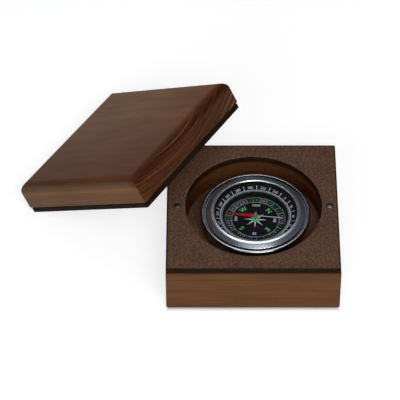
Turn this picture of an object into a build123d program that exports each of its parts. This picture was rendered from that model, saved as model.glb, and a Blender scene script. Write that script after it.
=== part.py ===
from build123d import *
import math
import os

# A hand compass lying loose in the round recess of a two-part wooden box, with the lid leaning beside it.
# Millimetres. The origin is the middle of the base's underside, and +Z is up.

# The base half of the box
box_side = 100.0
base_wood_height = 30.3
leather_thickness = 3.8
leather_inset = 0.3
foot_round = 2.2
corner_round = 0.8

# The lid half of the box
lid_shortfall = 1.4
lid_leather_thickness = 3.3
lid_wall_height = 10.9
lid_top_round = 5.6

# How the lid leans: turn of its sloping side, and where the base's corner meets it from its middle
lean_heading = -32.6
lean_contact_along = 16.3
lean_contact_across = 13.7
lean_clearance = 0.15

# The round recess and the leather disc on its floor
recess_diameter = 79.4
recess_depth = 17.0
recess_offset = 0.6
lining_thickness = 1.2
lining_clearance = 0.15

# The magnets, sunk a little below the leather
magnet_diameter = 3.4
magnet_length = 6.0
magnet_wall_share = 0.456
magnet_sink = 0.4
magnet_clearance = 0.03
leather_hole_clearance = 0.25

# The compass case: a turned cup with a rolled bead round its rim
capsule_offset = 1.8
case_diameter = 60.0
case_wall = 1.2
case_foot_chamfer = 1.2
bead_overhang = 2.0
bead_thickness = 1.8
bead_lift = 0.45
bead_sides = 8
seat_height = 10.0

# The bezel: it falls from a crest round the lens to a low outer edge, and its lip holds the lens down
bezel_width = 5.6
bezel_edge_height = 0.8
bezel_crest_height = 2.8
bezel_crest_width = 0.5
bezel_crest_drop = 0.4
bezel_swell = 0.3
bezel_lip_width = 0.9
bezel_groove = 0.5

# The flat lens, and the gasket under its rim
lens_thickness = 0.75
lens_rise = 1.1
lens_clearance = 0.1
gasket_thickness = 0.4
gasket_width = 1.1

# The moulded carrier and the two printed cards on it
carrier_wall = 1.2
carrier_clearance = 0.2
ledge_width = 4.8
shelf_width = 5.6
scale_flat_width = 2.6
scale_cone_rise = 1.4
scale_depth = 1.55
dial_depth = 4.9
card_thickness = 0.3
card_clearance = 0.2
boss_diameter = 5.0

# The pivot
pin_diameter = 1.1
pin_point_angle = 20.0
pin_tip_depth = 1.1
pin_clearance = 0.02
pivot_gap = 0.05

# The needle and its cap
needle_heading = 173.4
needle_tip_clearance = 0.4
needle_south_shortfall = 2.3
needle_north_width = 2.8
needle_south_width = 1.0
needle_tip_width = 0.3
needle_thickness = 0.3
needle_waist = 2.2
cap_diameter = 2.6
cap_collar_width = 0.5
cap_collar_height = 0.4
cap_top_chamfer = 0.5
cap_top_wall = 0.4
cap_skirt = 0.4
jewel_diameter = 1.8
jewel_height = 1.0
jewel_cone_angle = 35.0
needle_clearance = 0.02

# Heights and places that follow from the sizes above
base_height = base_wood_height + leather_thickness
recess_radius = recess_diameter / 2
recess_floor = base_height - recess_depth
lining_floor = recess_floor - lining_thickness
magnet_place = recess_radius + magnet_wall_share * (box_side / 2 - recess_radius)
magnet_top = base_height - magnet_sink
lid_side = box_side - lid_shortfall
lid_wood_height = lid_wall_height + lid_top_round

case_radius = case_diameter / 2
case_bore = case_radius - case_wall
bead_core = case_radius + bead_overhang - bead_thickness / 2
bezel_radius = bead_core - bead_thickness / 2 - bezel_groove
bezel_bore = bezel_radius - bezel_width
bezel_rebate = bezel_bore + bezel_lip_width
lens_radius = bezel_rebate - lens_clearance
lens_top = seat_height + lens_rise
lens_base = lens_top - lens_thickness
gasket_seat = lens_base - gasket_thickness

carrier_radius = case_bore - carrier_clearance
shelf_radius = carrier_radius - ledge_width
shelf_bore = shelf_radius - shelf_width
scale_bend = shelf_bore + scale_flat_width
scale_outer = shelf_radius - card_clearance
scale_height = seat_height - scale_depth
shelf_top = scale_height - card_thickness
shelf_edge = shelf_top + scale_cone_rise * (shelf_radius - scale_bend) / (scale_outer - scale_bend)
dial_height = seat_height - dial_depth
dial_seat = dial_height - card_thickness

pin_radius = pin_diameter / 2
pin_tip_height = seat_height - pin_tip_depth
pin_shoulder = pin_tip_height - pin_radius / math.tan(math.radians(pin_point_angle))
jewel_apex = pin_tip_height + pivot_gap
jewel_base = jewel_apex + cap_top_wall - jewel_height
jewel_top = jewel_base + jewel_height
cap_base = jewel_base - cap_skirt
cap_top = jewel_top + cap_top_wall
blade_base = cap_base + cap_collar_height
needle_north_length = shelf_bore - needle_tip_clearance
needle_south_length = needle_north_length - needle_south_shortfall


def section(*points):
    """A closed face through a few points."""
    return make_face(Polyline(*points, close=True))


def turned(profile):
    """A solid turned about the compass's axis, from a profile of radius and height over the recess floor."""
    return Pos(capsule_offset, 0, recess_floor) * revolve(Plane.XZ * profile, Axis.Z)


def block(side, height, corner):
    """An upright square block on the plane of its underside, with its upright edges rounded."""
    return extrude(RectangleRounded(side, side, corner), height)


def at_magnets(shape, height):
    """A copy of a shape at each of a half's two magnet places, either side of the recess."""
    return [Pos(recess_offset + side * magnet_place, 0, height) * shape for side in (-1, 1)]


def magnet():
    """One magnet, a plain disc standing on the plane of its lower face."""
    return extrude(Circle(magnet_diameter / 2), magnet_length)


def magnet_bore(clearance, depth):
    """A tool for the hole that holds one magnet, from the plane of its lower face upwards."""
    return extrude(Circle(magnet_diameter / 2 + clearance), depth)


def base_block():
    wood = block(box_side, base_wood_height, corner_round)
    wood = fillet(wood.edges().group_by(Axis.Z)[0], foot_round)
    recess = extrude(Circle(recess_radius), recess_depth + lining_thickness)
    wood -= Pos(recess_offset, 0, lining_floor) * recess
    for bore in at_magnets(magnet_bore(magnet_clearance, magnet_length), magnet_top - magnet_length):
        wood -= bore
    return wood


def base_leather():
    sheet = block(box_side - 2 * leather_inset, leather_thickness, corner_round)
    sheet -= Pos(recess_offset, 0, 0) * extrude(Circle(recess_radius), leather_thickness)
    for hole in at_magnets(magnet_bore(leather_hole_clearance, leather_thickness), 0):
        sheet -= hole
    return Pos(0, 0, base_wood_height) * sheet


def recess_lining():
    disc = extrude(Circle(recess_radius - lining_clearance), lining_thickness)
    return Pos(recess_offset, 0, lining_floor) * disc


def base_magnets():
    """The left and the right magnet of the base."""
    return at_magnets(magnet(), magnet_top - magnet_length)


def compass_case():
    cup = section((0, 0), (case_radius, 0), (case_radius, seat_height), (case_bore, seat_height),
                  (case_bore, case_wall), (0, case_wall))
    foot = cup.vertices().group_by(Axis.Y)[0].sort_by(Axis.X)[-1]
    cup = chamfer(foot, case_foot_chamfer)
    rim = section((case_bore, seat_height - case_wall), (bead_core, seat_height - case_wall),
                  (bead_core, seat_height), (case_bore, seat_height))
    bead = RegularPolygon(bead_thickness / 2, bead_sides, major_radius=False, rotation=180 / bead_sides)
    bead = Pos(bead_core, seat_height + bead_lift) * bead
    return turned(cup + rim + bead)


def compass_bezel():
    """A ring with a crest round the lens, a swollen outer slope, and a rebate under its lip for the lens."""
    crest = seat_height + bezel_crest_height
    edge = seat_height + bezel_edge_height
    crest_radius = bezel_bore + bezel_crest_width
    return turned(section((bezel_rebate, seat_height), (bezel_radius, seat_height),
                          (bezel_radius, edge),
                          ((bezel_radius + crest_radius) / 2, (edge + crest) / 2 + bezel_swell),
                          (crest_radius, crest), (bezel_bore, crest - bezel_crest_drop),
                          (bezel_bore, lens_top), (bezel_rebate, lens_top)))


def compass_lens():
    return turned(section((0, lens_base), (lens_radius, lens_base), (lens_radius, lens_top), (0, lens_top)))


def lens_gasket():
    inner = lens_radius - gasket_width
    return turned(section((inner, gasket_seat), (lens_radius, gasket_seat),
                          (lens_radius, gasket_seat + gasket_thickness),
                          (inner, gasket_seat + gasket_thickness)))


def dial_carrier():
    """A pan of even wall: middle boss, dial floor, inner wall, shelf, cone, lens flange and outer skirt."""
    under_dial = dial_seat - carrier_wall
    under_shelf = shelf_top - carrier_wall
    under_flange = gasket_seat - carrier_wall
    pin_bore = pin_radius + pin_clearance
    boss = boss_diameter / 2
    pan = section((pin_bore, case_wall), (boss, case_wall), (boss, under_dial),
                  (shelf_bore + carrier_wall, under_dial), (shelf_bore + carrier_wall, under_shelf),
                  (scale_bend, under_shelf), (shelf_radius, under_flange),
                  (carrier_radius - carrier_wall, under_flange), (carrier_radius - carrier_wall, case_wall),
                  (carrier_radius, case_wall), (carrier_radius, gasket_seat), (shelf_radius, gasket_seat),
                  (shelf_radius, shelf_edge), (scale_bend, shelf_top), (shelf_bore, shelf_top),
                  (shelf_bore, dial_seat), (pin_bore, dial_seat))
    return turned(pan)


def bearing_scale():
    """A ring that is flat inside, for the fine ticks, and rises in a cone outside, for the numbers."""
    return turned(section((shelf_bore, shelf_top), (scale_bend, shelf_top),
                          (scale_outer, shelf_top + scale_cone_rise),
                          (scale_outer, scale_height + scale_cone_rise),
                          (scale_bend, scale_height), (shelf_bore, scale_height)))


def dial_card():
    inner = pin_radius + card_clearance
    outer = shelf_bore - card_clearance
    return turned(section((inner, dial_seat), (outer, dial_seat), (outer, dial_height), (inner, dial_height)))


def pivot_pin():
    return turned(section((0, case_wall), (pin_radius, case_wall), (pin_radius, pin_shoulder),
                          (0, pin_tip_height)))


def needle_blade():
    """A flat blade: a broad tapering north half and a thin south half, on a waist round the cap."""
    half_width = needle_north_width / 2
    half_tip = needle_tip_width / 2
    north = section((0, -half_width), (needle_waist, -half_width), (needle_north_length, -half_tip),
                    (needle_north_length, half_tip), (needle_waist, half_width), (0, half_width))
    south = Pos(-needle_south_length / 2, 0) * Rectangle(needle_south_length, needle_south_width)
    hole = Circle(cap_diameter / 2 + needle_clearance)
    blade = extrude(north + south + Circle(needle_waist) - hole, needle_thickness)
    place = Pos(capsule_offset, 0, recess_floor + blade_base) * Rot(0, 0, needle_heading)
    return place * blade


def needle_cap():
    outer = cap_diameter / 2
    bore = jewel_diameter / 2 + needle_clearance
    body = section((bore, cap_base), (outer, cap_base), (outer, cap_top), (0, cap_top), (0, jewel_top),
                   (bore, jewel_top))
    shoulder = body.vertices().group_by(Axis.Y)[-1].sort_by(Axis.X)[-1]
    body = chamfer(shoulder, cap_top_chamfer)
    collar = section((bore, cap_base), (outer + cap_collar_width, cap_base),
                     (outer + cap_collar_width, cap_base + cap_collar_height),
                     (bore, cap_base + cap_collar_height))
    return turned(body + collar)


def needle_jewel():
    mouth = (jewel_apex - jewel_base) * math.tan(math.radians(jewel_cone_angle))
    return turned(section((mouth, jewel_base), (jewel_diameter / 2, jewel_base),
                          (jewel_diameter / 2, jewel_top), (0, jewel_top), (0, jewel_apex)))


def lid_block():
    """The wooden lid above its leather, its top edges rounded so that they meet in mitres at the corners."""
    wood = Pos(0, 0, lid_leather_thickness) * block(lid_side, lid_wood_height, corner_round)
    middle = lid_leather_thickness + lid_wood_height / 2
    profile = Pos(0, middle) * Rectangle(lid_side, lid_wood_height)
    profile = fillet(profile.vertices().group_by(Axis.Y)[-1], lid_top_round)
    wood &= extrude(Plane.XZ * profile, lid_side / 2, both=True)
    wood &= extrude(Plane.YZ * profile, lid_side / 2, both=True)
    for bore in at_magnets(magnet_bore(magnet_clearance, magnet_length), magnet_sink):
        wood -= bore
    return wood


def lid_leather():
    sheet = block(lid_side - 2 * leather_inset, lid_leather_thickness, corner_round)
    for hole in at_magnets(magnet_bore(leather_hole_clearance, lid_leather_thickness), 0):
        sheet -= hole
    return sheet


def lid_magnets():
    """The left and the right magnet of the lid."""
    return at_magnets(magnet(), magnet_sink)


def lean():
    """The lid's place: its left lower edge on the table, its underside on the base's back-left corner."""
    slope = lid_side / 2 - leather_inset + lean_contact_along
    reach = math.hypot(slope, lean_clearance)
    tilt = math.degrees(math.asin(base_height / reach) + math.atan2(lean_clearance, slope))
    turn = Rot(0, 0, lean_heading) * Rot(0, -tilt, 0)
    contact = turn * Pos(lean_contact_along, lean_contact_across, -lean_clearance)
    corner = box_side / 2 - leather_inset
    return Pos(Vector(-corner, corner, base_height) - contact.position) * turn


def all_pieces():
    """Every piece at rest, by the name of its node."""
    leaning = lean()
    base_left, base_right = base_magnets()
    lid_left, lid_right = lid_magnets()
    return {
        "base_block": base_block(),
        "base_leather": base_leather(),
        "recess_lining": recess_lining(),
        "base_magnet_left": base_left,
        "base_magnet_right": base_right,
        "compass_case": compass_case(),
        "compass_bezel": compass_bezel(),
        "compass_lens": compass_lens(),
        "lens_gasket": lens_gasket(),
        "dial_carrier": dial_carrier(),
        "bearing_scale": bearing_scale(),
        "dial_card": dial_card(),
        "pivot_pin": pivot_pin(),
        "needle_blade": needle_blade(),
        "needle_cap": needle_cap(),
        "needle_jewel": needle_jewel(),
        "lid_block": leaning * lid_block(),
        "lid_leather": leaning * lid_leather(),
        "lid_magnet_left": leaning * lid_left,
        "lid_magnet_right": leaning * lid_right,
    }


os.makedirs("parts", exist_ok=True)
for name, piece in all_pieces().items():
    export_step(piece, f"parts/{name}.step")
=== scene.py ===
import math

import bmesh
import bpy
from mathutils import Matrix, Vector

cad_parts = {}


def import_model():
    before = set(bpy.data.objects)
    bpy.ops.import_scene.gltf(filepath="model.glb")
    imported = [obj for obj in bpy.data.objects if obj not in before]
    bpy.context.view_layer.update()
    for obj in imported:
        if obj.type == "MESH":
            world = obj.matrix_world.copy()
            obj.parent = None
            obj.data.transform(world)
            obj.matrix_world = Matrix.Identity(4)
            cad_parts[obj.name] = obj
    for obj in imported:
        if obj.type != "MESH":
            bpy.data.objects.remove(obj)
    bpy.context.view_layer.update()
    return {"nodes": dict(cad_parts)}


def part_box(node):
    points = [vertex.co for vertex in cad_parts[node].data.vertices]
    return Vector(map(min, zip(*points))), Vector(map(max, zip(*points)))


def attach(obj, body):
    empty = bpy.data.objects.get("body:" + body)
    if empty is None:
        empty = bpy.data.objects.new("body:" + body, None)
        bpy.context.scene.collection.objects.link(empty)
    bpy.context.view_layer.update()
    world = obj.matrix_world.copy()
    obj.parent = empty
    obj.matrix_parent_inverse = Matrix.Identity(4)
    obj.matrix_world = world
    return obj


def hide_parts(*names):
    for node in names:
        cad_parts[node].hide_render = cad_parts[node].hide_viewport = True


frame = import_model()

# Places read from the CAD pieces, in metres
wood_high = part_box("base_block")[1]
sheet_low, sheet_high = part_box("base_leather")
lining_low, lining_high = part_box("recess_lining")
case_low, case_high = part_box("compass_case")
bezel_low, bezel_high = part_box("compass_bezel")
lens_low, lens_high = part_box("compass_lens")
scale_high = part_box("bearing_scale")[1]
dial_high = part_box("dial_card")[1]
blade_low, blade_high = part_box("needle_blade")
cap_low, cap_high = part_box("needle_cap")
magnet_low, magnet_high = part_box("base_magnet_right")
recess_axis = (lining_low + lining_high) / 2
compass_axis = (case_low + case_high) / 2
magnet_places = {hand: sum(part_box("base_magnet_" + hand), Vector()).x / 2
                 for hand in ("left", "right")}

# Lengths that count as equal, for picking edges and faces
exact = 1e-7
close = 1e-6
hair = 1e-5
off_axis = 1e-4

# Shares for picking them: of half a side, and of a normal that points straight up
corner_share = 1.4
edge_share = 0.98
flat_share = 0.85
wall_share = 0.2

# Millimetres in a metre, for patterns
mm = 1000

# How finely the meshes are divided
turn_steps = 160
cap_steps = 64
magnet_steps = 48
circle_steps = 128
wood_rim_cuts = 35
sheet_rim_cuts = 47
sheet_ring_cuts = 7
lid_sheet_cells = 60
lid_round_segments = 12
letter_steps = 3

# Box sizes
foot_round = 0.0022
corner_round = 0.0008
arris_round = 0.0005
leather_inset = 0.0003
leather_edge_round = 0.0009
leather_cut_round = 0.0002
leather_corner_round = 0.0009
base_leather_thickness = sheet_high.z - sheet_low.z
lining_radius = (lining_high.x - lining_low.x) / 2
lining_clearance = 0.00015
lining_round = 0.0003
recess_radius = lining_radius + lining_clearance
magnet_radius = (magnet_high.x - magnet_low.x) / 2
magnet_length = magnet_high.z - magnet_low.z
magnet_chamfer = 0.0003
magnet_clearance = 0.00025
magnet_hole = magnet_radius + magnet_clearance
magnet_patch = 0.0032

# Lid sizes and the way it leans
lid_half = 0.0493
lid_leather_thickness = 0.0033
lid_wall_height = 0.0109
lid_top_round = 0.0056
lid_magnet_low = 0.0004
lean_heading = math.radians(-32.6)
lean_along = 0.0163
lean_across = 0.0137
lean_gap = 0.00015

# Compass sizes, heights over the recess floor
case_radius = 0.030
case_wall = 0.0012
case_foot_round = 0.0012
case_rim_round = 0.0003
case_rim_under = 0.0088
case_rim_seat = 0.0100
bead_width = 0.0018
bead_outer = (case_high.x - case_low.x) / 2
bead_core = bead_outer - bead_width / 2
bead_inner = bead_outer - bead_width
bead_under = 0.00955
bead_top = case_high.z - case_low.z
bead_round = 0.00085
bead_lip_round = 0.0001
bezel_width = 0.0056
bezel_lip = 0.0009
bezel_outer = (bezel_high.x - bezel_low.x) / 2
bezel_inner = bezel_outer - bezel_width
bezel_rebate = bezel_inner + bezel_lip
bezel_edge = 0.01107
bezel_edge_round = 0.0002
bezel_shoulder_width = 0.0018
bezel_shoulder_drop = 0.00026
bezel_shoulder_round = 0.0006
bezel_crest = bezel_high.z - case_low.z
bezel_crest_width = 0.0005
bezel_crest_drop = 0.0004
groove_margin = 0.0008
lens_outer = (lens_high.x - lens_low.x) / 2
lens_base = lens_low.z - case_low.z
lens_top = lens_high.z - case_low.z
lens_edge_round = 0.0001
scale_bend = 0.0208
scale_rise = 0.0014
scale_run = 0.0028
scale_flat = scale_high.z - scale_rise

# Needle sizes
blade_heading = math.radians(173.4)
blade_north = 0.0178
blade_south = 0.0155
blade_root = 0.00136
blade_width = 0.0028
blade_tip_width = 0.0003
blade_south_width = 0.0004
blade_ridge = 0.00012
blade_edge_round = 0.00008
hub_radius = 0.0017
hub_clearance = 0.00002
cap_radius = 0.0013
cap_bore = 0.00092
cap_collar_height = 0.0004
cap_foot_round = 0.0001
cap_collar_round = 0.00015
cap_dome_round = 0.0008
cap_top_wall = 0.0004

# Printing on the bearing scale; a tick is a width and a length, a circle a radius and a width
ink = 0.00003
zero_bearing = 52.7
number_step = 20
number_size = 0.0023
number_weight = -0.00003
number_climb = 0.0014
long_tick = (0.00025, 0.0025)
fine_step = 2
fine_tick = (0.0002, 0.0013)
fine_tick_reach = 0.0199
scale_circle = (0.0205, 0.0005)

# Printing on the dial; a star is the reach of its tips and of its waist
north_bearing = 49.0
main_wind_size = 0.0044
main_wind_weight = 0.00004
main_wind_reach = 0.0106
half_wind_size = 0.0026
half_wind_reach = 0.0113
white_star = (0.0066, 0.0015)
green_star = (0.0029, 0.0016)
inner_circle = (0.01375, 0.00014)
outer_circle = (0.01775, 0.00010)
box_colours = "GWGGGWWGGWGGWWWGWWGGWWWG"
box_of_north = 3
box_reach = 0.01575
box_width = 0.0034
box_length = 0.0030
box_line = 0.00012
box_number_size = 0.0018
box_divider = (0.00010, 0.0040)


# Shapes

def rounded(bm, edges, size, segments=4):
    """Rounds some edges of a shape."""
    bmesh.ops.bevel(bm, geom=edges, offset=size, offset_type="OFFSET", affect="EDGES",
                    segments=segments, profile=0.5, material=-1, clamp_overlap=True)


def level_edges(bm, height):
    """The edges that lie at one height."""
    return [edge for edge in bm.edges if all(abs(vert.co.z - height) < exact for vert in edge.verts)]


def spun(corners, steps, start, closed=False):
    """A shell spun about Z from corners given as reach, height and rounding."""
    bm = bmesh.new()
    line = [bm.verts.new((reach * start.x, reach * start.y, height)) for reach, height, size in corners]
    pairs = list(zip(line, line[1:]))
    if closed:
        pairs.append((line[-1], line[0]))
    edges = [bm.edges.new(pair) for pair in pairs]
    bmesh.ops.spin(bm, geom=line + edges, cent=(0, 0, 0), axis=(0, 0, 1), angle=math.tau,
                   steps=steps, use_merge=True)
    bmesh.ops.remove_doubles(bm, verts=bm.verts, dist=exact)
    bmesh.ops.recalc_face_normals(bm, faces=bm.faces)
    for reach, height, size in corners:
        if size:
            rounded(bm, [edge for edge in level_edges(bm, height) if all(
                abs(vert.co.xy.length - reach * start.length) < close for vert in edge.verts)], size)
    return bm


def turned(corners, closed=False, steps=turn_steps):
    """A round piece, turned about Z."""
    return spun(corners, steps, Vector((1, 0)), closed)


def squared(corners):
    """A four-sided piece about Z, whose sides meet in mitres; reach is half a side."""
    return spun(corners, 4, Vector((1, 1)))


def upright_corners(bm):
    """The edges of a four-sided piece that lie over its diagonals."""
    return [edge for edge in bm.edges if all(
        abs(abs(vert.co.x) - abs(vert.co.y)) < exact and vert.co.xy.length > off_axis
        for vert in edge.verts)]


def moved(bm, x=0, y=0, z=0):
    """Shifts a shape."""
    bmesh.ops.translate(bm, vec=(x, y, z), verts=bm.verts)
    return bm


def grounded(bm, low=0):
    """Shifts a shape up or down until its lowest point is at a height."""
    return moved(bm, z=low - min(vert.co.z for vert in bm.verts))


def circle_loop(bm, place, radius, steps):
    """A loose ring of edges."""
    ring = bmesh.ops.create_circle(bm, segments=steps, radius=radius, matrix=place)
    return list(dict.fromkeys(edge for vert in ring["verts"] for edge in vert.link_edges))


def ring_inside(bm, rim, x, z, radius):
    """Fills between a rim and a new circle inside it; the circle is high up while the two are bridged.

    Gives the circle and the edges that join it to the rim."""
    lift = 0.01
    ring = circle_loop(bm, Matrix.Translation((x, 0, z + lift)), radius, len(rim))
    spokes = bmesh.ops.bridge_loops(bm, edges=rim + ring)["edges"]
    bmesh.ops.translate(bm, vec=(0, 0, -lift), verts=list({vert for edge in ring for vert in edge.verts}))
    return ring, spokes


def magnet_holes(bm):
    """Opens a flat sheet round each magnet, in place of the faces near it."""
    for x in magnet_places.values():
        centre = Vector((x, 0, 0))
        lost = [face for face in bm.faces if (face.calc_center_median() - centre).length < magnet_patch]
        rim = [edge for edge in bm.edges if {face in lost for face in edge.link_faces} == {True, False}]
        bmesh.ops.delete(bm, geom=lost, context="FACES")
        halves = bmesh.ops.subdivide_edges(bm, edges=rim, cuts=1)["geom_split"]
        rim = list(dict.fromkeys(part for part in halves if isinstance(part, bmesh.types.BMEdge)))
        ring_inside(bm, rim, x, 0, magnet_hole)


def soft_sheet(bm, half, thickness):
    """Gives a flat sheet its thickness, upwards from Z 0, with softened edges.

    The cut edges take finish 1."""
    bmesh.ops.recalc_face_normals(bm, faces=bm.faces)
    bmesh.ops.solidify(bm, geom=bm.faces, thickness=thickness)
    grounded(bm)
    bmesh.ops.recalc_face_normals(bm, faces=bm.faces)
    rounded(bm, [edge for edge in upright_corners(bm) if edge.verts[0].co.xy.length > half * corner_share
                 and abs(edge.verts[0].co.z - edge.verts[1].co.z) > thickness / 2],
            leather_corner_round)
    brow = [edge for edge in level_edges(bm, thickness) if edge.calc_face_angle(0) > 1]
    outer = [edge for edge in brow
             if max(abs(part) for vert in edge.verts for part in vert.co.xy) > half * edge_share]
    rounded(bm, [edge for edge in brow if edge not in outer], leather_cut_round, segments=2)
    rounded(bm, [edge for edge in outer if edge.is_valid], leather_edge_round, segments=3)
    for face in bm.faces:
        face.material_index = 0 if abs(face.normal.z) > flat_share else 1
    return bm


def base_wood():
    """The base's block with the round recess in its top."""
    half = wood_high.x
    top = wood_high.z
    bm = squared([(0, 0, 0), (half, 0, foot_round), (half, top - arris_round, 0),
                  (half - arris_round, top, 0)])
    rounded(bm, upright_corners(bm), corner_round)
    sides = [edge for edge in bm.edges if edge.is_boundary and edge.calc_length() > half]
    bmesh.ops.subdivide_edges(bm, edges=sides, cuts=wood_rim_cuts)
    rim = [edge for edge in bm.edges if edge.is_boundary]
    mouth = ring_inside(bm, rim, recess_axis.x, top, recess_radius)[0]
    wall = bmesh.ops.extrude_edge_only(bm, edges=mouth)["geom"]
    bmesh.ops.translate(bm, vec=(0, 0, lining_low.z - top),
                        verts=[part for part in wall if isinstance(part, bmesh.types.BMVert)])
    bmesh.ops.edgeloop_fill(bm, edges=[edge for edge in bm.edges if edge.is_boundary])
    bmesh.ops.recalc_face_normals(bm, faces=bm.faces)
    return bm


def base_sheet():
    """The base's leather, open over the recess and round the magnets."""
    half = sheet_high.x
    bm = bmesh.new()
    sides = circle_loop(bm, Matrix.Rotation(math.pi / 4, 4, "Z"), half * math.sqrt(2), 4)
    bmesh.ops.subdivide_edges(bm, edges=sides, cuts=sheet_rim_cuts)
    spokes = ring_inside(bm, list(bm.edges), recess_axis.x, 0, recess_radius)[1]
    bmesh.ops.subdivide_edges(bm, edges=spokes, cuts=sheet_ring_cuts, use_grid_fill=True)
    magnet_holes(bm)
    return moved(soft_sheet(bm, half, base_leather_thickness), z=sheet_low.z)


def lid_sheet():
    """The lid's leather, open round the magnets."""
    half = lid_half - leather_inset
    bm = bmesh.new()
    bmesh.ops.create_grid(bm, x_segments=lid_sheet_cells, y_segments=lid_sheet_cells, size=half)
    magnet_holes(bm)
    return soft_sheet(bm, half, lid_leather_thickness)


def lid_wood():
    """The lid's block, its top edges rounded so that they meet in mitres."""
    top = lid_leather_thickness + lid_wall_height + lid_top_round
    bm = squared([(0, lid_leather_thickness, 0), (lid_half, lid_leather_thickness, arris_round),
                  (lid_half, top, 0), (0, top, 0)])
    brow = [edge for edge in level_edges(bm, top)
            if all(vert.co.xy.length > off_axis for vert in edge.verts)]
    rounded(bm, brow, lid_top_round, lid_round_segments)
    rounded(bm, upright_corners(bm), arris_round, segments=3)
    return bm


def lining_pad():
    """The leather disc on the recess's floor."""
    return moved(turned([
        (0, lining_low.z, 0), (lining_radius, lining_low.z, 0),
        (lining_radius, lining_high.z, lining_round), (0, lining_high.z, 0)]), x=recess_axis.x)


def magnet(x, low):
    """One magnet, a disc with chamfered rims."""
    return moved(turned([
        (0, 0, 0), (magnet_radius, 0, magnet_chamfer),
        (magnet_radius, magnet_length, magnet_chamfer), (0, magnet_length, 0)],
        steps=magnet_steps), x=x, z=low)


def on_axis(bm):
    """Sets a turned piece on the compass's axis, over the recess floor."""
    return moved(bm, compass_axis.x, 0, case_low.z)


def case_cup():
    """The case: a cup with a rolled bead round its rim. The groove inside the bead takes finish 1, a
    darker metal that paints in the groove's shade.
    """
    bore = case_radius - case_wall
    bm = turned([
        (0, 0, 0), (case_radius, 0, case_foot_round),
        (case_radius, case_rim_under, case_rim_round), (bead_core, case_rim_under, case_rim_round),
        (bead_core, bead_under, 0), (bead_outer, bead_under, bead_round),
        (bead_outer, bead_top, bead_round), (bead_inner, bead_top, bead_lip_round),
        (bead_inner, case_rim_seat, 0), (bore, case_rim_seat, 0),
        (bore, case_wall, 0), (0, case_wall, 0)])
    for face in bm.faces:
        middle = face.calc_center_median()
        groove = middle.z > case_rim_seat - hair and middle.xy.length < bead_inner + hair
        face.material_index = 1 if groove else 0
    return on_axis(bm)


def bezel_ring():
    """The bezel: a crest round the lens, a shallow shoulder and a slope down to a low outer edge.

    Its bore and its outer wall take finish 1, a black that paints in their shade; the bore's black also
    stands for a black lining."""
    crest_reach = bezel_inner + bezel_crest_width
    edge_reach = bezel_outer - groove_margin
    bm = turned([
        (bezel_rebate, case_rim_seat, 0), (edge_reach, case_rim_seat, 0),
        (edge_reach, bezel_edge, bezel_edge_round),
        (crest_reach + bezel_shoulder_width, bezel_crest - bezel_shoulder_drop, bezel_shoulder_round),
        (crest_reach, bezel_crest, bezel_edge_round),
        (bezel_inner, bezel_crest - bezel_crest_drop, bezel_edge_round),
        (bezel_inner, lens_top, 0), (bezel_rebate, lens_top, 0)], closed=True)
    for face in bm.faces:
        reach = face.calc_center_median().xy.length
        # Black on the bore and the outer wall: painted shade
        wall = reach < bezel_inner + hair or reach > edge_reach - hair
        face.material_index = 1 if wall and abs(face.normal.z) < wall_share else 0
    return on_axis(bm)


def lens_pane():
    """The flat lens."""
    return on_axis(turned([
        (0, lens_base, 0), (lens_outer, lens_base, lens_edge_round),
        (lens_outer, lens_top, lens_edge_round), (0, lens_top, 0)]))


def needle_cap_dome():
    """The needle's domed cap, hollow from below, with a collar round its foot."""
    base = cap_low.z - case_low.z
    top = cap_high.z - case_low.z
    collar = (cap_high.x - cap_low.x) / 2
    return on_axis(turned([
        (cap_bore, base, 0), (collar, base, cap_foot_round),
        (collar, base + cap_collar_height, cap_collar_round),
        (cap_radius, base + cap_collar_height, 0), (cap_radius, top, cap_dome_round), (0, top, 0),
        (0, top - cap_top_wall, 0), (cap_bore, top - cap_top_wall, 0)], steps=cap_steps))


def add_shape(bm, part, place=Matrix()):
    """Adds another shape to one, at a place."""
    mesh = bpy.data.meshes.new("part")
    part.to_mesh(mesh)
    part.free()
    mesh.transform(place)
    bm.from_mesh(mesh)
    bpy.data.meshes.remove(mesh)


def joined(parts):
    """One shape from several; each takes the finish of its own number."""
    whole = bmesh.new()
    for number, bm in enumerate(parts):
        for face in bm.faces:
            face.material_index = number
        add_shape(whole, bm)
    return whole


def north_half(thickness):
    """The blade's red half along +X, tapered, with a low ridge."""
    bm = bmesh.new()
    bm.faces.new([bm.verts.new(spot) for spot in (
        (blade_root, -blade_width / 2, 0), (blade_north, -blade_tip_width / 2, 0),
        (blade_north, blade_tip_width / 2, 0), (blade_root, blade_width / 2, 0))])
    bmesh.ops.bisect_plane(bm, geom=bm.verts[:] + bm.edges[:] + bm.faces[:], plane_co=(0, 0, 0),
                           plane_no=(0, 1, 0))
    bmesh.ops.solidify(bm, geom=bm.faces, thickness=thickness)
    grounded(bm)
    bmesh.ops.translate(bm, vec=(0, 0, -blade_ridge), verts=[
        vert for vert in bm.verts if abs(vert.co.y) > close and vert.co.z > thickness / 2])
    bmesh.ops.recalc_face_normals(bm, faces=bm.faces)
    return bm


def south_half(thickness):
    """The blade's thin pale half along -X; the thin pale strip is a painted glint, standing for the lit
    edge of the south half.
    """
    length = blade_south - blade_root
    bm = bmesh.new()
    bmesh.ops.create_cube(bm, size=1, matrix=(
        Matrix.Translation((-blade_root - length / 2, 0, thickness / 2))
        @ Matrix.Diagonal((length, blade_south_width, thickness, 1))))
    rounded(bm, [edge for edge in bm.edges if all(vert.co.z > 0 for vert in edge.verts)],
            blade_edge_round, segments=2)
    return bm


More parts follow.
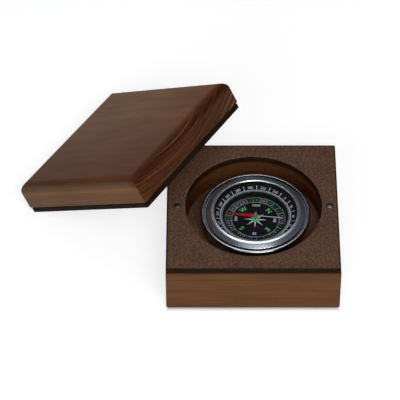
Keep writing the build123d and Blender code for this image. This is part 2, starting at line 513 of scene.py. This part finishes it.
def blade():
    """The needle's blade: both halves, and the hub's ring between them."""
    thickness = blade_high.z - blade_low.z
    bore = cap_radius + hub_clearance
    hub = turned([(bore, 0, 0), (hub_radius, 0, 0), (hub_radius, thickness, blade_edge_round),
                  (bore, thickness, 0)], closed=True, steps=cap_steps)
    whole = joined([north_half(thickness), south_half(thickness), hub])
    bmesh.ops.rotate(whole, cent=(0, 0, 0), matrix=Matrix.Rotation(blade_heading, 3, "Z"),
                     verts=whole.verts)
    return moved(whole, compass_axis.x, 0, blade_low.z)


# Printing

def at_bearing(bearing, radius, height):
    """The place on a dial at a bearing, in degrees clockwise from the back, with its top outwards."""
    return (Matrix.Translation((compass_axis.x, 0, height))
            @ Matrix.Rotation(math.radians(-bearing), 4, "Z")
            @ Matrix.Translation((0, radius, 0)))


def up_the_cone(bearing, climb):
    """A place on the sloping part of the bearing scale, some way up it."""
    return (at_bearing(bearing, scale_bend, scale_flat + ink / 2)
            @ Matrix.Rotation(math.atan2(scale_rise, scale_run), 4, "X")
            @ Matrix.Translation((0, climb, 0)))


def print_words(bm, words, size, place, weight=0):
    """Adds words to a print, centred on a place."""
    curve = bpy.data.curves.new("words", "FONT")
    curve.body = words
    curve.size = size
    curve.offset = weight
    curve.extrude = ink / 2
    curve.resolution_u = letter_steps
    holder = bpy.data.objects.new("words", curve)
    mesh = bpy.data.meshes.new_from_object(holder)
    low = Vector([min(vert.co[axis] for vert in mesh.vertices) for axis in range(3)])
    high = Vector([max(vert.co[axis] for vert in mesh.vertices) for axis in range(3)])
    mesh.transform(place @ Matrix.Translation(-(low + high) / 2))
    bm.from_mesh(mesh)
    bpy.data.objects.remove(holder)
    bpy.data.curves.remove(curve)
    bpy.data.meshes.remove(mesh)


def print_tick(bm, width, length, place):
    """Adds a straight line of ink to a print."""
    bmesh.ops.create_cube(bm, size=1, matrix=place @ Matrix.Diagonal((width, length, ink, 1)))


def print_circle(bm, radius, width, height):
    """Adds a thin circle of ink to a print."""
    inner, outer = radius - width / 2, radius + width / 2
    low, high = height - ink / 2, height + ink / 2
    ring = turned([(inner, low, 0), (outer, low, 0), (outer, high, 0), (inner, high, 0)],
                  closed=True, steps=circle_steps)
    add_shape(bm, moved(ring, compass_axis.x))


def print_flat(bm, flat, place):
    """Adds a flat shape to a print, as thick as its ink."""
    bmesh.ops.solidify(flat, geom=flat.faces, thickness=ink)
    grounded(flat, -ink / 2)
    bmesh.ops.recalc_face_normals(flat, faces=flat.faces)
    add_shape(bm, flat, place)


def print_frame(bm, width, length, line, place):
    """Adds the outline of a box to a print."""
    box = bmesh.new()
    bmesh.ops.create_grid(box, x_segments=1, y_segments=1, size=0.5,
                          matrix=Matrix.Diagonal((width, length, 1, 1)))
    bmesh.ops.inset_region(box, faces=box.faces, thickness=line, use_boundary=True,
                           use_even_offset=True)
    inner = min(box.faces, key=lambda face: face.calc_center_median().length)
    bmesh.ops.delete(box, geom=[inner], context="FACES")
    print_flat(bm, box, place)


def print_star(bm, tip, waist, place):
    """Adds an eight-pointed star to a print, one point outwards at the place's own bearing."""
    star = bmesh.new()
    verts = bmesh.ops.create_circle(star, cap_ends=True, cap_tris=True, segments=16, radius=tip)["verts"]
    bmesh.ops.scale(star, vec=(waist / tip, waist / tip, 1), verts=[
        vert for vert in verts if abs(math.sin(4 * math.atan2(vert.co.x, vert.co.y))) > 0.5])
    print_flat(bm, star, place)


def scale_prints():
    """The bearing scale: numbers with long ticks between them, and fine ticks inside."""
    level = scale_flat + ink / 2
    numbers = bmesh.new()
    fine = bmesh.new()
    for degree in range(0, 360, number_step):
        bearing = zero_bearing + degree
        print_words(numbers, str(degree), number_size, up_the_cone(bearing, number_climb),
                    number_weight)
        print_tick(numbers, *long_tick, up_the_cone(bearing + number_step / 2, number_climb))
    for degree in range(0, 360, fine_step):
        print_tick(fine, *fine_tick, at_bearing(zero_bearing + degree, fine_tick_reach, level))
    print_circle(fine, *scale_circle, level)
    return numbers, fine


def dial_prints():
    """The dial: letters for the winds, the star, and a ring of numbered boxes."""
    level = dial_high.z + ink / 2
    over = level + ink
    white = bmesh.new()
    green = bmesh.new()
    dim_white = bmesh.new()
    dim_green = bmesh.new()
    for turn, wind in enumerate(("N", "E", "S", "W")):
        print_words(green, wind, main_wind_size,
                    at_bearing(north_bearing + 90 * turn, main_wind_reach, level), main_wind_weight)
    for turn, wind in enumerate(("NE", "SE", "SW", "NW")):
        print_words(white, wind, half_wind_size,
                    at_bearing(north_bearing + 45 + 90 * turn, half_wind_reach, level))
    print_star(white, *white_star, at_bearing(north_bearing, 0, level))
    print_star(green, *green_star, at_bearing(north_bearing, 0, over))
    print_circle(dim_white, *inner_circle, level)
    print_circle(dim_white, *outer_circle, level)
    count = len(box_colours)
    step = 360 / count
    for place, colour in enumerate(box_colours):
        bearing = north_bearing + step * (place - box_of_north)
        middle = at_bearing(bearing, box_reach, over)
        paint = dim_green if colour == "G" else dim_white
        print_frame(paint, box_width, box_length, box_line, middle)
        print_words(paint, str((place - box_of_north) % count + 1), box_number_size, middle)
        print_tick(dim_white, *box_divider, at_bearing(bearing + step / 2, box_reach, level))
    return white, green, dim_white, dim_green


# Finishes

class Wire:
    """One shader socket; a sum on wires adds its Math nodes."""

    def __init__(self, tree, socket):
        self.tree = tree
        self.socket = socket

    def sum(self, operation, *values):
        return self.tree.add("ShaderNodeMath", {"operation": operation}, dict(enumerate(values)))

    def __add__(self, other):
        return self.sum("ADD", self, other)

    def __radd__(self, other):
        return self.sum("ADD", other, self)

    def __sub__(self, other):
        return self.sum("SUBTRACT", self, other)

    def __rsub__(self, other):
        return self.sum("SUBTRACT", other, self)

    def __mul__(self, other):
        return self.sum("MULTIPLY", self, other)

    def __rmul__(self, other):
        return self.sum("MULTIPLY", other, self)

    def __truediv__(self, other):
        return self.sum("DIVIDE", self, other)

    def __pow__(self, other):
        return self.sum("POWER", self, other)

    def __abs__(self):
        return self.sum("ABSOLUTE", self)


class Tree:
    """The nodes of a material or a world, and the one way that they are added."""

    def __init__(self, owner):
        owner.use_nodes = True
        self.tree = owner.node_tree
        self.tree.nodes.clear()

    def add(self, kind, settings=None, sockets=None, output=0):
        """A new node: its settings first, then the values or links of its sockets."""
        node = self.tree.nodes.new(kind)
        for name, value in (settings or {}).items():
            if name == "stops":
                self.set_stops(node.color_ramp, value)
            else:
                setattr(node, name, value)
        for name, value in (sockets or {}).items():
            socket = node.inputs[name]
            if isinstance(value, Wire):
                self.tree.links.new(value.socket, socket)
            elif socket.type == "RGBA":
                socket.default_value = (*value, 1)
            else:
                socket.default_value = value
        return Wire(self, node.outputs[output]) if len(node.outputs) else None

    def set_stops(self, ramp, stops):
        """Sets a ramp's stops, each a place and a colour."""
        while len(ramp.elements) < len(stops):
            ramp.elements.new(1)
        for element, (place, colour) in zip(ramp.elements, stops):
            element.position = place
            element.color = (*colour, 1)

    def spot(self, place=None):
        """Object coordinates in millimetres, from a place's own origin and axes where one is given."""
        spot = self.add("ShaderNodeTexCoord", output="Object")
        if place:
            spot = self.add("ShaderNodeMapping", {"vector_type": "TEXTURE"}, {
                "Vector": spot, "Location": place.to_translation(), "Rotation": place.to_euler()})
        return self.add("ShaderNodeVectorMath", {"operation": "SCALE"}, {0: spot, "Scale": mm})

    def split(self, vector):
        """The three parts of a vector."""
        return [self.add("ShaderNodeSeparateXYZ", None, {0: vector}, axis) for axis in range(3)]

    def noise(self, spot, scale, detail=2.0, roughness=0.5):
        """Noise about 0.5; scale is cells a millimetre, along each axis."""
        spot = self.add("ShaderNodeVectorMath", {"operation": "MULTIPLY"}, {0: spot, 1: scale})
        return self.add("ShaderNodeTexNoise", None, {
            "Vector": spot, "Scale": 1, "Detail": detail, "Roughness": roughness})

    def step(self, value, low, high):
        """0 below low, 1 above high, smooth between."""
        return self.add("ShaderNodeMapRange", {"interpolation_type": "SMOOTHSTEP"}, {
            "Value": value, "From Min": low, "From Max": high})

    def ramp(self, value, stops):
        """The colour at a value on a ramp."""
        return self.add("ShaderNodeValToRGB", {"stops": stops}, {0: value})

    def mix(self, share, first, second, blend="MIX"):
        """The first colour, with a share of the second."""
        return self.add("ShaderNodeMix", {"data_type": "RGBA", "blend_type": blend},
                        {0: share, 6: first, 7: second}, 2)

    def bump(self, height, distance, strength):
        """A normal from a height; distance is in metres."""
        return self.add("ShaderNodeBump", None, {
            "Height": height, "Distance": distance, "Strength": strength})

    def surface(self, sockets):
        """Ends the tree in a Principled surface."""
        shader = self.add("ShaderNodeBsdfPrincipled", None, sockets)
        self.add("ShaderNodeOutputMaterial", None, {"Surface": shader})


def finish(name):
    """A new material and its tree."""
    material = bpy.data.materials.new(name)
    return material, Tree(material)


# Where the wood's painted shade, painted sheen and darker seams begin and end, in millimetres, and how
# they lie
recess_painted_shade_fade = (40.5, 43)
base_seam_width = 1.1
lid_seam_width = 0.9
lid_wall_painted_shade = (11, 14)
lid_top_start = (16, 19.4)
lid_brow_painted_shade_start = (12.5, 16)
lid_brow_painted_shade_end = (18.6, 19.7)
lid_right_brow_shade_start = (43.7, 47.5)
lid_right_brow_shade_height = (12, 16)
lid_painted_sheen_spot = (-30, 30)
lid_painted_sheen_fade = (10, 70)
lid_painted_sheen_squeeze = 0.75
lid_cloud_wander = 20

# How far in from its edge the leather is burnished, in millimetres
burnish_start = 1.2
burnish_end = 0.3


def base_stains(tree, spot):
    """Where the base's wood is darker: painted shade in the recess, and a darker band along the seam
    under the leather.
    """
    x, y, z = tree.split(spot)
    reach = ((x - recess_axis.x * mm) ** 2 + y ** 2) ** 0.5
    seam = wood_high.z * mm
    # Painted shade inside the recess, then a darker band along the seam
    return ((1 - tree.step(reach, *recess_painted_shade_fade), (0.60, 0.50, 0.42)),
            (tree.step(z, seam - base_seam_width, seam), (0.55, 0.48, 0.46)))


def lid_stains(tree, spot):
    """Where the lid's wood is darker or redder: painted sheen that leaves the top pale round a spot at
    the back-left and darkens its walls, painted shade round its brow, and a darker band along its seam.
    """
    x, y, z = tree.split(spot)
    cloud = (tree.noise(spot, (0.02, 0.05, 0.05), 2) - 0.5) * lid_cloud_wander
    # Painted sheen: the top stays pale and greyer round a spot at the back-left, and is darkened and
    # reddened towards the front and the right
    aside = abs(x - lid_painted_sheen_spot[0]) * lid_painted_sheen_squeeze
    ahead = abs(y - lid_painted_sheen_spot[1])
    top = tree.step(z, *lid_top_start)
    front = tree.step(ahead + cloud, *lid_painted_sheen_fade) * top
    right = tree.step(aside + cloud, *lid_painted_sheen_fade) * top * (1 - front)
    # Painted shade over the rounded brows, and over the right end's upper part
    brow = tree.step(z, *lid_brow_painted_shade_start) * (1 - tree.step(z, *lid_brow_painted_shade_end))
    right_brow = tree.step(x, *lid_right_brow_shade_start) * tree.step(z, *lid_right_brow_shade_height)
    seam = lid_leather_thickness * mm
    # In turn: painted shade on the walls, leaving the top paler as painted sheen; the painted sheen's
    # fall-off to the front and right; painted shade on the brows; a darker band along the seam
    return ((1 - tree.step(z, *lid_wall_painted_shade), (0.77, 0.79, 0.90)),
            (front, (0.60, 0.40, 0.33)),
            (right, (0.84, 0.62, 0.50)),
            (brow, (0.64, 0.74, 1.0)),
            (right_brow, (0.72, 0.58, 0.50)),
            (1 - tree.step(z, seam, seam + lid_seam_width), (0.5, 0.45, 0.45)))


def wood(name, place, pith, ring_gap, streaks, tones, end_tones, painted_light_and_stains):
    """Walnut-toned wood whose grain runs along a place's X: rings about a pith line, fibres, pores.

    Streaks is how strong the marks along the grain are. The last argument gives shares and tints that are
    multiplied in last: painted shade, painted sheen and darker seams."""
    material, tree = finish(name)
    spot = tree.spot(place)
    x, y, z = tree.split(spot)
    drift = tree.noise(spot, (0.005, 0.02, 0.02), 2)
    across = ((y - pith[0]) ** 2 + (z - pith[1]) ** 2) ** 0.5 + (drift - 0.5) * 3
    ring = across / ring_gap
    phase = ring.sum("FRACT", ring)
    year = tree.add("ShaderNodeTexWhiteNoise", {"noise_dimensions": "1D"}, {"W": ring - phase})
    pale_line = tree.step(phase, 0.2, 0.42) * (1 - tree.step(phase, 0.42, 0.75)) * year
    streak = tree.noise(spot, (0.014, 0.25, 0.25), 3, 0.6)
    fibre = tree.noise(spot, (0.018, 1.0, 1.0), 3, 0.65)
    pore = tree.step(tree.noise(spot, (0.06, 1.6, 1.6), 1), 0.60, 0.72)
    cloud = tree.noise(spot, (0.025, 0.08, 0.08), 2)
    smudge = tree.step(tree.noise(spot, (0.022, 0.28, 0.28), 3), 0.50, 0.70)
    marks = (streak - 0.5) * 0.6 + (fibre - 0.5) * 0.8 + pale_line * 0.06 - pore * 0.25
    side_colour = tree.ramp(0.49 + (cloud - 0.5) * 0.6 + streaks * marks, tones)
    side_colour = tree.mix(smudge * (streaks * 0.7), side_colour, (0.68, 0.80, 0.84), "MULTIPLY")
    sheaf = tree.add("ShaderNodeCombineXYZ", None, {0: across, 1: y, 2: x})
    layer = tree.noise(sheaf, (1.6, 0.03, 0.02), 3, 0.6)
    fleck = tree.noise(spot, (0.5, 1.3, 1.3), 3, 0.65)
    end_tone = 0.14 + pale_line * 0.65 + (layer - 0.5) * 1.5 + (fleck - 0.5) * 0.35
    end_colour = tree.ramp(end_tone, end_tones)
    grain = (place or Matrix()).to_3x3() @ Vector((1, 0, 0))
    normal = tree.add("ShaderNodeNewGeometry", output="Normal")
    facing = tree.add("ShaderNodeVectorMath", {"operation": "DOT_PRODUCT"},
                      {0: normal, 1: grain}, "Value")
    colour = tree.mix(tree.step(abs(facing), 0.45, 0.85), side_colour, end_colour)
    # Painted shade, painted sheen and darker seams, multiplied into the colour
    for share, tint in painted_light_and_stains(tree, spot):
        colour = tree.mix(share, colour, tint, "MULTIPLY")
    tree.surface({
        "Base Color": colour,
        "Roughness": 0.36 + (fibre - 0.5) * 0.12 + pore * 0.12,
        "Specular IOR Level": 0.05,
        "Normal": tree.bump(fibre * 0.5 - pore * 0.6, 0.00005, 0.5),
    })
    return material


def pebbled_leather(name, place, half):
    """Dark brown leather with a fine pebble, burnished dark along its outer edge."""
    material, tree = finish(name)
    spot = tree.spot(place)
    warp = tree.add("ShaderNodeTexNoise", None, {"Vector": spot, "Scale": 0.6, "Detail": 2}, "Color")
    bent = tree.add("ShaderNodeVectorMath", {"operation": "ADD"}, {0: spot, 1: warp})
    bent = tree.add("ShaderNodeVectorMath", {"operation": "MULTIPLY"}, {0: bent, 1: (0.36, 0.85, 0.85)})
    crease, cell = (tree.add("ShaderNodeTexVoronoi", {"feature": feature}, {"Vector": bent, "Scale": 1})
                    for feature in ("DISTANCE_TO_EDGE", "F1"))
    pebble = tree.step(crease, 0.0, 0.25)
    patch = tree.noise(spot, (0.06, 0.06, 0.06), 3, 0.6)
    fine = tree.noise(spot, (3.0, 3.0, 3.0), 3, 0.6)
    tone = 0.23 + pebble * 0.36 + (patch - 0.5) * 0.35 + (fine - 0.5) * 0.2
    colour = tree.ramp(tone, ((0.0, (0.034, 0.014, 0.008)),
                              (0.45, (0.113, 0.054, 0.032)),
                              (1.0, (0.177, 0.092, 0.058))))
    x, y = tree.split(spot)[:2]
    reach = x.sum("MAXIMUM", abs(x), abs(y))
    rim = tree.step(reach, half * mm - burnish_start, half * mm - burnish_end)
    tree.surface({
        "Base Color": tree.mix(rim, colour, (0.016, 0.010, 0.008)),
        "Roughness": 0.62 - pebble * 0.12 + (fine - 0.5) * 0.1,
        "Specular IOR Level": 0.2,
        "Normal": tree.bump(pebble * 0.7 - cell * 0.4 + fine * 0.15, 0.0002, 0.9),
    })
    return material


def leather_edge():
    """The cut and darkened edge of the leather."""
    material, tree = finish("leather_edge")
    spot = tree.spot()
    layer = tree.noise(spot, (0.12, 0.12, 1.2), 3, 0.6)
    nap = tree.noise(spot, (2.5, 2.5, 2.5), 3, 0.6)
    tree.surface({
        "Base Color": tree.ramp(layer * 0.7 + nap * 0.3, ((0.3, (0.004, 0.002, 0.001)),
                                                          (0.7, (0.026, 0.013, 0.007)))),
        "Roughness": 0.6 + (nap - 0.5) * 0.2,
        "Specular IOR Level": 0.05,
        "Normal": tree.bump(layer + nap, 0.0001, 0.5),
    })
    return material


def metal(name, colour, centre, roughness, rubbed, purity=1.0):
    """Bright metal with faint turning lines round a centre and a few rubbed patches."""
    material, tree = finish(name)
    spot = tree.spot(Matrix.Translation(centre))
    x, y, z = tree.split(spot)
    reach = (x ** 2 + y ** 2) ** 0.5
    lines = tree.add("ShaderNodeTexNoise", {"noise_dimensions": "1D"}, {
        "W": reach + z * 0.7, "Scale": 4, "Detail": 2})
    patch = tree.noise(spot, (0.12, 0.12, 0.12), 3, 0.6)
    shade = tree.step(patch, 0.3, 0.75)
    dull = tuple(part * 0.92 for part in colour)
    tree.surface({
        "Base Color": tree.mix(shade, colour, dull),
        "Metallic": purity,
        "Roughness": roughness + shade * rubbed + (lines - 0.5) * 0.02,
        "Normal": tree.bump(lines, 0.000002, 0.15),
    })
    return material


def clear_pane():
    """The clear lens: see-through, with a polished surface that has faint wipe marks."""
    material, tree = finish("clear_pane")
    wipe = tree.noise(tree.spot(), (0.4, 0.08, 0.4), 3, 0.6)
    clear = tree.add("ShaderNodeBsdfTransparent", None, {"Color": (0.97, 0.98, 0.98)})
    gloss = tree.add("ShaderNodeBsdfGlossy", None, {
        "Color": (1, 1, 1), "Roughness": 0.04 + tree.step(wipe, 0.5, 0.8) * 0.03})
    slant = tree.add("ShaderNodeLayerWeight", None, {"Blend": 0.5}, "Facing")
    shader = tree.add("ShaderNodeMixShader", None, {0: 0.02 + slant ** 5 * 0.6, 1: clear, 2: gloss})
    tree.add("ShaderNodeOutputMaterial", None, {"Surface": shader})
    return material


def coated(name, colour, roughness, speckle, gloss):
    """Paint, ink, stone or moulded plastic: one colour with a fine mottle in tone and gloss."""
    material, tree = finish(name)
    spot = tree.spot()
    mottle = tree.noise(spot, (2.0, 2.0, 2.0), 3, 0.6)
    cloud = tree.noise(spot, (0.2, 0.2, 0.2), 2)
    pale = tuple(min(1, part * (1 + speckle)) for part in colour)
    dark = tuple(part * (1 - speckle) for part in colour)
    tree.surface({
        "Base Color": tree.mix(tree.step(mottle * 0.6 + cloud * 0.4, 0.3, 0.7), dark, pale),
        "Roughness": roughness + (mottle - 0.5) * 0.12,
        "Specular IOR Level": gloss,
        "Normal": tree.bump(mottle, 0.00001, 0.4),
    })
    return material


# The box

def lean():
    """The lid's place: its left lower edge on the table, its underside on the base's back-left corner."""
    slope = lid_half - leather_inset + lean_along
    reach = math.hypot(slope, lean_gap)
    tilt = math.asin(sheet_high.z / reach) + math.atan2(lean_gap, slope)
    turn = Matrix.Rotation(lean_heading, 4, "Z") @ Matrix.Rotation(-tilt, 4, "Y")
    contact = turn @ Vector((lean_along, lean_across, -lean_gap))
    corner = Vector((sheet_low.x, sheet_high.y, sheet_high.z))
    return Matrix.Translation(corner - contact) @ turn


def in_scene(name, data):
    """A new object in the scene."""
    made = bpy.data.objects.new(name, data)
    bpy.context.scene.collection.objects.link(made)
    return made


def piece(bm, name, body, finishes, stands_for=(), place=None, crease=35):
    """Makes a shape into a finished piece that rides on a body and stands for CAD nodes."""
    if place:
        bmesh.ops.transform(bm, matrix=place, verts=bm.verts)
    mesh = bpy.data.meshes.new(name)
    bm.to_mesh(mesh)
    bm.free()
    mesh.shade_smooth()
    mesh.set_sharp_from_angle(angle=math.radians(crease))
    for material in finishes:
        mesh.materials.append(material)
    made = in_scene(name, mesh)
    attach(made, body)
    if stands_for:
        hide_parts(*stands_for)


def refinish(node, material):
    """Gives a CAD node that stays as it is a better finish."""
    mesh = frame["nodes"][node].data
    mesh.materials.clear()
    mesh.materials.append(material)


leaning = lean()
side_tones = ((0.0, (0.067, 0.026, 0.011)), (0.5, (0.140, 0.059, 0.024)), (1.0, (0.21, 0.098, 0.042)))
lid_tones = ((0.0, (0.106, 0.042, 0.018)), (0.5, (0.209, 0.099, 0.043)), (1.0, (0.32, 0.168, 0.077)))
end_tones = ((0.0, (0.052, 0.017, 0.007)), (0.4, (0.158, 0.052, 0.017)), (1.0, (0.42, 0.185, 0.055)))
box_wood = wood("box_wood", None, pith=(20, -120), ring_gap=5.0, streaks=1.0, tones=side_tones,
                end_tones=end_tones, painted_light_and_stains=base_stains)
dark_wood = wood("lid_wood", leaning, pith=(-8, 151.7), ring_gap=3.6, streaks=0.5, tones=lid_tones,
                 end_tones=end_tones, painted_light_and_stains=lid_stains)
leather = pebbled_leather("pebbled_leather", None, sheet_high.x)
lid_leather = pebbled_leather("lid_pebbled_leather", leaning, lid_half - leather_inset)
cut_leather = leather_edge()
nickel = metal("magnet_metal", (0.19, 0.18, 0.17), recess_axis, roughness=0.22, rubbed=0.2)
chrome = metal("bezel_chrome", (0.53, 0.56, 0.61), compass_axis, roughness=0.23, rubbed=0.04, purity=0.93)
# A darker steel in the case's groove: painted shade
groove_shade_steel = metal("groove_shade_metal", (0.13, 0.135, 0.15), compass_axis, roughness=0.3, rubbed=0.06)
steel = metal("case_metal", (0.37, 0.38, 0.41), compass_axis, roughness=0.16, rubbed=0.06)
brass = metal("cap_brass", (0.36, 0.31, 0.23), compass_axis, roughness=0.25, rubbed=0.15)
black_plastic = coated("carrier_black", (0.006, 0.006, 0.007), roughness=0.5, speckle=0.4, gloss=0.1)
black_card = coated("dial_black", (0.007, 0.006, 0.009), roughness=0.6, speckle=0.5, gloss=0.05)
black_rubber = coated("gasket_rubber", (0.008, 0.008, 0.008), roughness=0.7, speckle=0.3, gloss=0.1)
white_ink = coated("white_ink", (0.78, 0.78, 0.80), roughness=0.6, speckle=0.12, gloss=0.2)
grey_ink = coated("grey_ink", (0.50, 0.51, 0.56), roughness=0.6, speckle=0.15, gloss=0.2)
green_ink = coated("green_ink", (0.12, 0.63, 0.19), roughness=0.6, speckle=0.2, gloss=0.2)
dark_green_ink = coated("dark_green_ink", (0.06, 0.36, 0.10), roughness=0.6, speckle=0.2, gloss=0.2)
red_paint = coated("red_paint", (0.40, 0.006, 0.007), roughness=0.45, speckle=0.15, gloss=0.15)
# Pale paint on the needle's thin south half: a painted glint
pale_glint_paint = coated("pale_glint_paint", (0.52, 0.46, 0.47), roughness=0.4, speckle=0.1, gloss=0.2)
red_stone = coated("jewel_stone", (0.30, 0.03, 0.06), roughness=0.15, speckle=0.2, gloss=0.5)
pane = clear_pane()

piece(base_wood(), "base_wood", "base", [box_wood], ["base_block"])
piece(base_sheet(), "base_top_leather", "base", [leather, cut_leather], ["base_leather"])
piece(lining_pad(), "recess_pad", "base", [leather], ["recess_lining"])
piece(lid_wood(), "lid_wood", "lid", [dark_wood], ["lid_block"], leaning)
piece(lid_sheet(), "lid_under_leather", "lid", [lid_leather, cut_leather],
      ["lid_leather"], leaning)
for hand, x in magnet_places.items():
    piece(magnet(x, magnet_low.z), f"base_{hand}_magnet", "base", [nickel],
          [f"base_magnet_{hand}"])
    piece(magnet(x, lid_magnet_low), f"lid_{hand}_magnet", "lid", [nickel],
          [f"lid_magnet_{hand}"], leaning)

piece(case_cup(), "case_cup", "compass", [steel, groove_shade_steel], ["compass_case"])
piece(bezel_ring(), "bezel_ring", "compass", [chrome, black_plastic],
      ["compass_bezel"], crease=5)
piece(lens_pane(), "lens_pane", "compass", [pane], ["compass_lens"], crease=5)
numbers, fine_ticks = scale_prints()
piece(numbers, "scale_numbers", "compass", [white_ink])
piece(fine_ticks, "scale_fine_ticks", "compass", [grey_ink])
white_print, green_print, dim_white_print, dim_green_print = dial_prints()
piece(white_print, "dial_white_print", "compass", [white_ink])
piece(green_print, "dial_green_print", "compass", [green_ink])
piece(dim_white_print, "dial_white_boxes", "compass", [grey_ink])
piece(dim_green_print, "dial_green_boxes", "compass", [dark_green_ink])
piece(blade(), "blade_painted", "needle", [red_paint, pale_glint_paint, brass],
      ["needle_blade"])
piece(needle_cap_dome(), "cap_dome", "needle", [brass], ["needle_cap"])
refinish("lens_gasket", black_rubber)
refinish("dial_carrier", black_plastic)
refinish("bearing_scale", black_card)
refinish("dial_card", black_card)
refinish("pivot_pin", steel)
refinish("needle_jewel", red_stone)

# The viewpoint, fitted to the base's corners in the photograph
view_height = math.radians(46.3)
view_heading = math.radians(0.421)
view_roll = math.radians(-0.314)
view_distance = 1.3916
view_aside = -0.030667
view_above = 0.02671
view_sensor = 36
view_lens = 211.72

# The floor; its glow fades out by the base's sides, a painted contact shadow along the foot, starting and
# ending in millimetres from the sides
floor_half = 12
floor_drop = 0.00005
floor_grey = (0.55, 0.55, 0.55)
floor_veil = (0.45, 0.45, 0.45)
floor_glow = 0.70
contact_shadow_start = -2
contact_shadow_end_beside = 0.6
contact_shadow_end_before = 2.2


# Camera, floor and light

def camera():
    """The photograph's viewpoint."""
    level = math.cos(view_height)
    right = Vector((math.cos(view_heading), math.sin(view_heading), 0))
    back = Vector((math.sin(view_heading) * level, -math.cos(view_heading) * level,
                   math.sin(view_height)))
    up = back.cross(right)
    right, up = (right * math.cos(view_roll) + up * math.sin(view_roll),
                 up * math.cos(view_roll) - right * math.sin(view_roll))
    lens = bpy.data.cameras.new("viewpoint")
    lens.sensor_width = view_sensor
    lens.lens = view_lens
    made = in_scene("viewpoint", lens)
    turn = Matrix((right, up, back)).transposed().to_4x4()
    place = right * view_aside + up * view_above + back * view_distance
    made.matrix_world = Matrix.Translation(place) @ turn
    bpy.context.scene.camera = made


def floor():
    """A white floor that keeps the object's shadow; its glow fades out just past the base's sides, a
    painted contact shadow along the foot, and is off under the base.
    """
    material, tree = finish("white_floor")
    camera_ray, glossy_ray, clear_ray = (tree.add("ShaderNodeLightPath", output=name) for name in (
        "Is Camera Ray", "Is Glossy Ray", "Is Transmission Ray"))
    seen = camera_ray.sum("MINIMUM", camera_ray + glossy_ray + clear_ray, 1)
    x, y = tree.split(tree.spot())[:2]
    # The glow fades in from under the base to just past its sides: a painted contact shadow
    start = wood_high.x * mm + contact_shadow_start
    beside = tree.step(abs(x), start, wood_high.x * mm + contact_shadow_end_beside)
    before = tree.step(abs(y), start, wood_high.x * mm + contact_shadow_end_before)
    matt = tree.add("ShaderNodeBsdfDiffuse", None, {"Color": floor_grey})
    veil = tree.add("ShaderNodeBsdfDiffuse", None, {"Color": floor_veil})
    glow = tree.add("ShaderNodeEmission", None, {
        "Color": x.sum("MAXIMUM", beside, before), "Strength": floor_glow})
    white = tree.add("ShaderNodeAddShader", None, {0: veil, 1: glow})
    shader = tree.add("ShaderNodeMixShader", None, {0: seen, 1: matt, 2: white})
    tree.add("ShaderNodeOutputMaterial", None, {"Surface": shader})
    bm = bmesh.new()
    bmesh.ops.create_grid(bm, x_segments=1, y_segments=1, size=floor_half)
    mesh = bpy.data.meshes.new("floor")
    moved(bm, z=-floor_drop).to_mesh(mesh)
    bm.free()
    mesh.materials.append(material)
    made = in_scene("floor", mesh)


def world():
    """A studio that is pale round the horizon and dim above it."""
    room = bpy.data.worlds.new("studio")
    bpy.context.scene.world = room
    tree = Tree(room)
    way = tree.add("ShaderNodeTexCoord", output="Generated")
    height = tree.split(way)[2]
    colour = tree.ramp(height, ((0.0, (0.45, 0.45, 0.46)), (0.10, (0.30, 0.30, 0.31)),
                                (0.30, (0.045, 0.050, 0.060)), (1.0, (0.035, 0.040, 0.050))))
    glow = tree.add("ShaderNodeBackground", None, {"Color": colour, "Strength": 1.0})
    tree.add("ShaderNodeOutputWorld", None, {"Surface": glow})


def lamp(name, place, width, power):
    """A square soft box that faces the compass."""
    light = bpy.data.lights.new(name, "AREA")
    light.shape = "SQUARE"
    light.size = width
    light.energy = power
    aim = compass_axis - Vector(place)
    turn = aim.to_track_quat("-Z", "Y").to_matrix().to_4x4()
    in_scene(name, light).matrix_world = Matrix.Translation(place) @ turn


camera()
floor()
world()
lamp("back_lamp", (0.0, 0.55, 1.15), width=0.45, power=2.2)
lamp("overhead_panel", (0.0, -0.22, 1.28), width=0.8, power=0.9)
lamp("key_lamp", (0.3, -1.0, 1.2), width=0.8, power=14)
lamp("front_lamp", (-0.6, -1.4, 0.9), width=1.0, power=10.5)
bpy.context.scene.view_settings.view_transform = "Standard"
